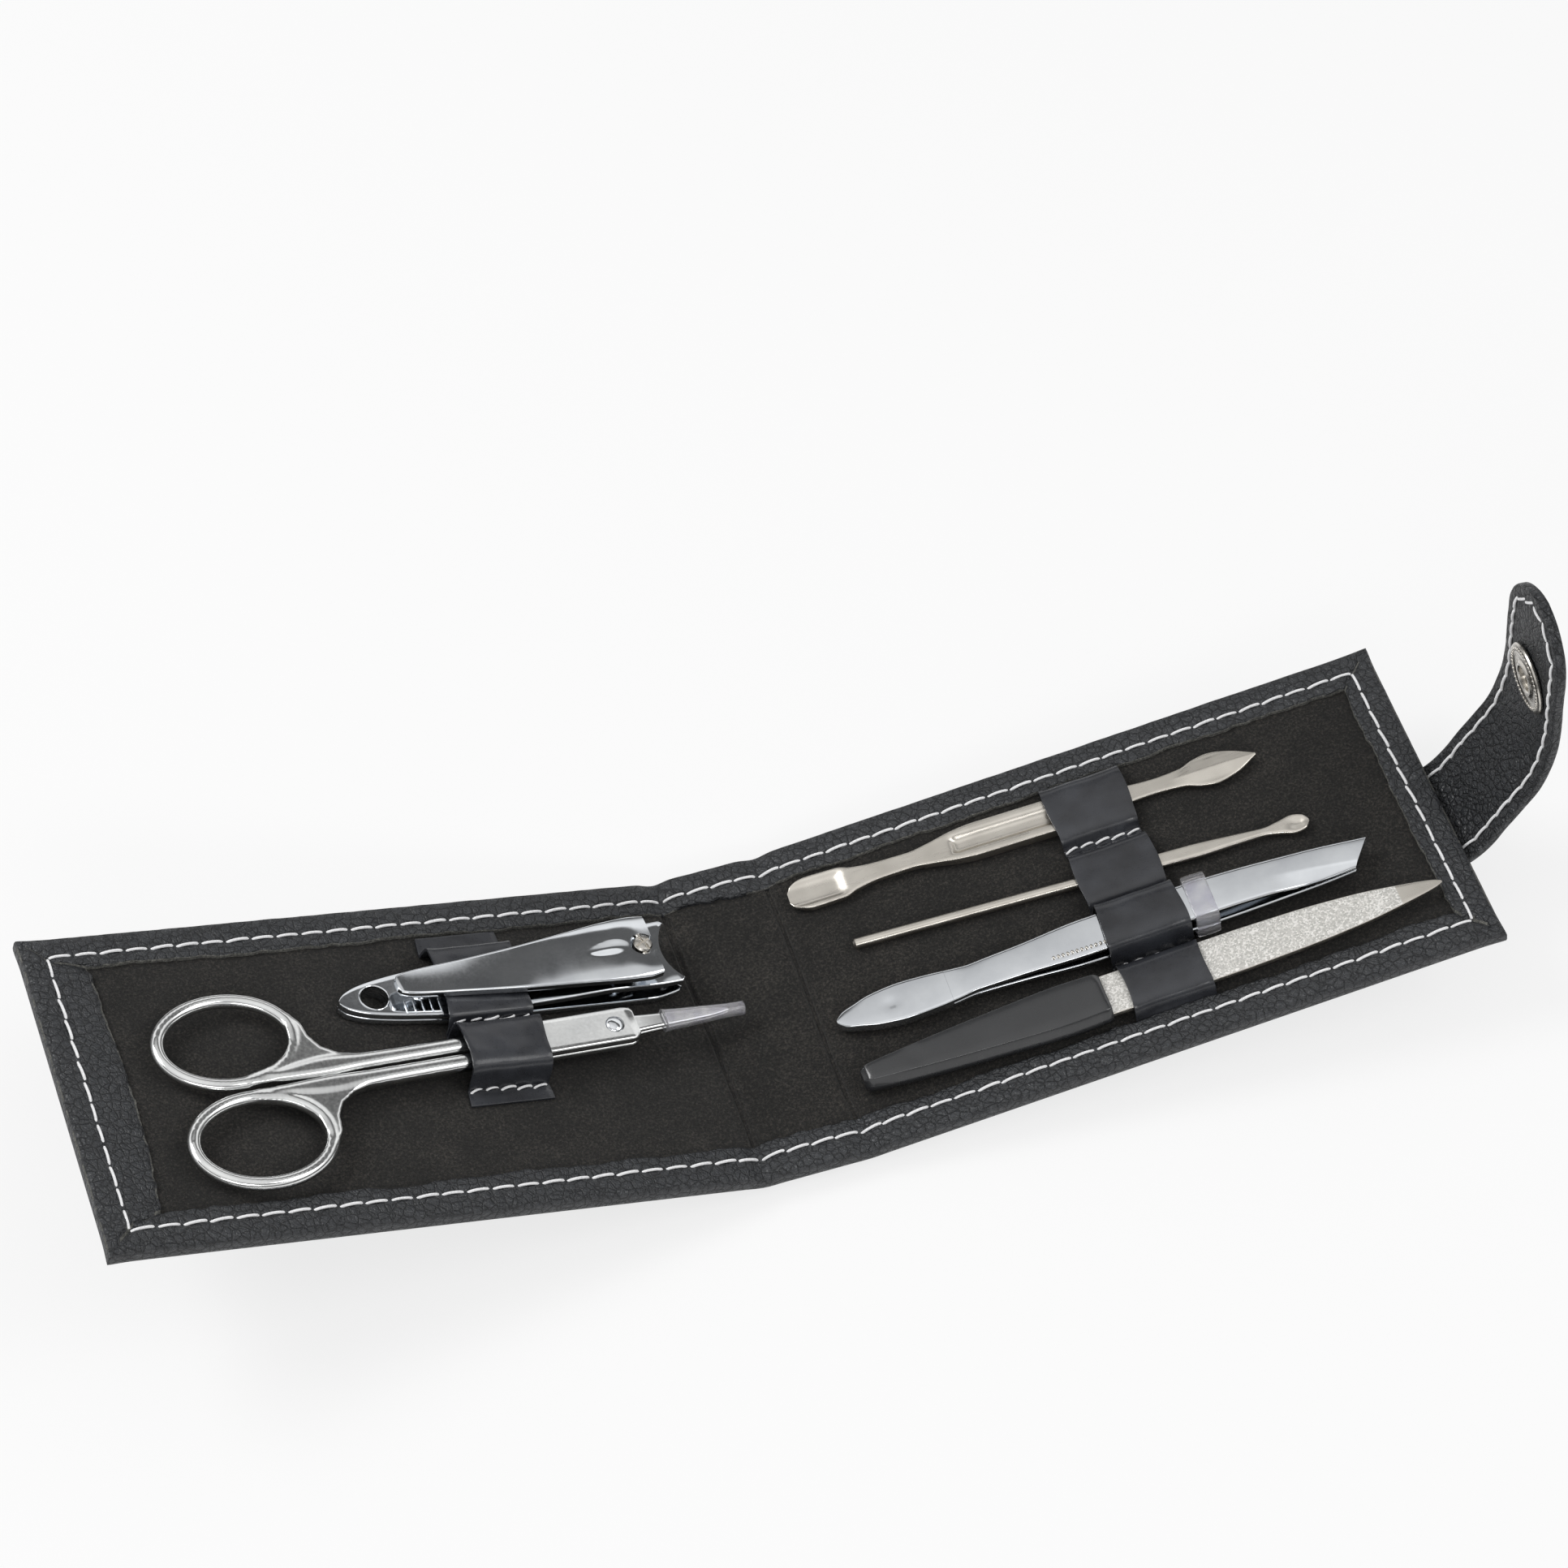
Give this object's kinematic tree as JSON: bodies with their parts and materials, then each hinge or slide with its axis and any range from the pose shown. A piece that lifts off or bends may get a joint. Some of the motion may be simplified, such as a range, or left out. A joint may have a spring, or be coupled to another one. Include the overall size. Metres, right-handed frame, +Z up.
{
  "type": "folding manicure case",
  "caption": "Folding leathercloth manicure case lying open on its spine, with scissors, nail clipper, tweezers, pusher, ear pick and file under vinyl strips and a snap strap.",
  "frame": {"origin": "middle of the flat underside of the spine", "axes": "+X along the case from the lid toward the tool panel and its strap, +Y across its depth to the far edge, +Z up"},
  "size_m": [0.2329, 0.058, 0.0606],
  "materials": {
    "cover_leather": "pebbled leathercloth, satin",
    "board": "grey board",
    "lining": "suede cloth",
    "vinyl": "glossy vinyl",
    "chrome": "polished chrome plate",
    "satin_steel": "satin nickel plate",
    "nickel": "satin nickel plate",
    "clear_plastic": "clear soft plastic",
    "handle_plastic": "glossy moulded plastic"
  },
  "bodies": {
    "spine": {"spine_cover": "cover_leather", "spine_board": "board", "spine_lining": "lining", "lid_crease": "cover_leather", "panel_crease": "cover_leather"},
    "lid": {"lid_cover": "cover_leather", "lid_board": "board", "lid_lining": "lining", "lid_strip": "vinyl", "snap_stud": "nickel", "stud_washer": "nickel"},
    "tool_panel": {"panel_cover": "cover_leather", "panel_board": "board", "panel_lining": "lining", "panel_strip": "vinyl", "strap_root": "cover_leather"},
    "strap_riser": {"strap_riser": "cover_leather"},
    "strap_bend": {"strap_bend": "cover_leather"},
    "strap_end": {"strap_end": "cover_leather", "snap_cap": "nickel", "snap_socket": "nickel"},
    "sheath": {"scissors_sheath": "clear_plastic"},
    "scissors": {"scissors_near_half": "chrome", "scissors_screw": "nickel"},
    "scissors_swing": {"scissors_far_half": "chrome"},
    "clipper": {"clipper_lower_leaf": "chrome", "clipper_tail_rivet": "chrome"},
    "clipper_jaw": {"clipper_upper_leaf": "chrome"},
    "clipper_pin": {"clipper_pin": "nickel"},
    "clipper_lever": {"clipper_lever": "chrome"},
    "tweezers": {"tweezers_lower_arm": "chrome"},
    "tweezers_arm": {"tweezers_upper_arm": "chrome"},
    "tweezers_band": {"tweezers_band": "clear_plastic"},
    "cuticle_pusher": {"cuticle_pusher": "satin_steel"},
    "ear_pick": {"ear_pick": "satin_steel"},
    "nail_file": {"file_blade": "satin_steel", "file_handle": "handle_plastic"}
  },
  "joints": [
    {"name": "lid_fold", "type": "hinge", "parent": "spine", "child": "lid", "pos_m": [-0.0085, 0, 0.0004], "axis": [0, 1, 0], "range_deg": [0, 76.7], "deforming": ["lid_crease"]},
    {"name": "panel_fold", "type": "hinge", "parent": "spine", "child": "tool_panel", "pos_m": [0.0085, 0, 0.0004], "axis": [0, -1, 0], "range_deg": [0, 83], "deforming": ["panel_crease"]},
    {"name": "strap_wrap", "type": "hinge", "parent": "tool_panel", "child": "strap_riser", "pos_m": [0.11207, -0.0035, 0.01191], "axis": [0, -1, 0], "range_deg": [0, 39]},
    {"name": "strap_turn", "type": "hinge", "parent": "strap_riser", "child": "strap_bend", "pos_m": [0.12129, -0.0035, 0.02666], "axis": [0, -1, 0], "range_deg": [0, 67.81]},
    {"name": "strap_lie", "type": "hinge", "parent": "strap_bend", "child": "strap_end", "pos_m": [0.12316, -0.0035, 0.03547], "axis": [0, -1, 0], "range_deg": [-17.41, 0]},
    {"name": "sheath_push", "type": "slide", "parent": "lid", "child": "sheath", "axis": [-0.9636, 0, 0.2672], "range_m": [0, 0.00751]},
    {"name": "scissors_pull", "type": "slide", "parent": "sheath", "child": "scissors", "axis": [0.9621, 0.0558, -0.2668], "range_m": [-0.066, 0], "deforming": ["scissors_sheath"]},
    {"name": "scissors_open", "type": "hinge", "parent": "scissors", "child": "scissors_swing", "pos_m": [-0.02356, -0.001, 0.01083], "axis": [0.2445, -0.0013, 0.9696], "range_deg": [-36, 0]},
    {"name": "clipper_lift", "type": "slide", "parent": "lid", "child": "clipper", "axis": [-0.2672, 0, -0.9636], "range_m": [-0.04, 0], "deforming": ["lid_strip"]},
    {"name": "clipper_jaw", "type": "hinge", "parent": "clipper", "child": "clipper_jaw", "pos_m": [-0.04399, 0.0108, 0.01393], "axis": [0.0336, -0.9994, -0.0093], "range_deg": [-1.4, 0], "stiffness_Nm_per_rad": 0.3, "springref_deg": 0.57},
    {"name": "pin_turn", "type": "hinge", "parent": "clipper", "child": "clipper_pin", "pos_m": [-0.01696, 0.01179, 0.00482], "axis": [0.2672, 0, 0.9636], "range_deg": [-180.1, 0]},
    {"name": "lever_tilt", "type": "hinge", "parent": "clipper_pin", "child": "clipper_lever", "pos_m": [-0.01503, 0.01179, 0.01176], "axis": [0.0336, -0.9994, -0.0093], "range_deg": [-160, 0]},
    {"name": "tweezers_lift", "type": "slide", "parent": "tool_panel", "child": "tweezers", "axis": [0.1219, 0, -0.9925], "range_m": [-0.024, 0], "deforming": ["panel_strip"]},
    {"name": "tweezers_open", "type": "hinge", "parent": "tweezers", "child": "tweezers_arm", "pos_m": [0.02836, -0.00707, 0.00682], "axis": [0.026, 0.9997, 0.0032], "range_deg": [-3, 0]},
    {"name": "band_slide", "type": "slide", "parent": "tweezers", "child": "tweezers_band", "axis": [0.9922, -0.0262, 0.1218], "range_m": [-0.03601, 0]},
    {"name": "pusher_lift", "type": "slide", "parent": "tool_panel", "child": "cuticle_pusher", "axis": [0.1219, 0, -0.9925], "range_m": [-0.02, 0]},
    {"name": "ear_pick_lift", "type": "slide", "parent": "tool_panel", "child": "ear_pick", "axis": [0.1219, 0, -0.9925], "range_m": [-0.018, 0]},
    {"name": "file_lift", "type": "slide", "parent": "tool_panel", "child": "nail_file", "axis": [0.1219, 0, -0.9925], "range_m": [-0.02, 0]}
  ],
  "couplings": [
    {"joint": "strap_turn", "follows": "strap_wrap", "ratio": 1.7385},
    {"joint": "strap_lie", "follows": "strap_wrap", "ratio": -0.44615},
    {"joint": "sheath_push", "follows": "lid_fold", "m_per_rad": 0.0056026},
    {"joint": "scissors_open", "follows": "scissors_pull", "rad_per_m": 9.2555},
    {"joint": "pin_turn", "follows": "lever_tilt", "ratio": 1.125},
    {"joint": "band_slide", "follows": "tweezers_open", "m_per_rad": 0.68755}
  ]
}
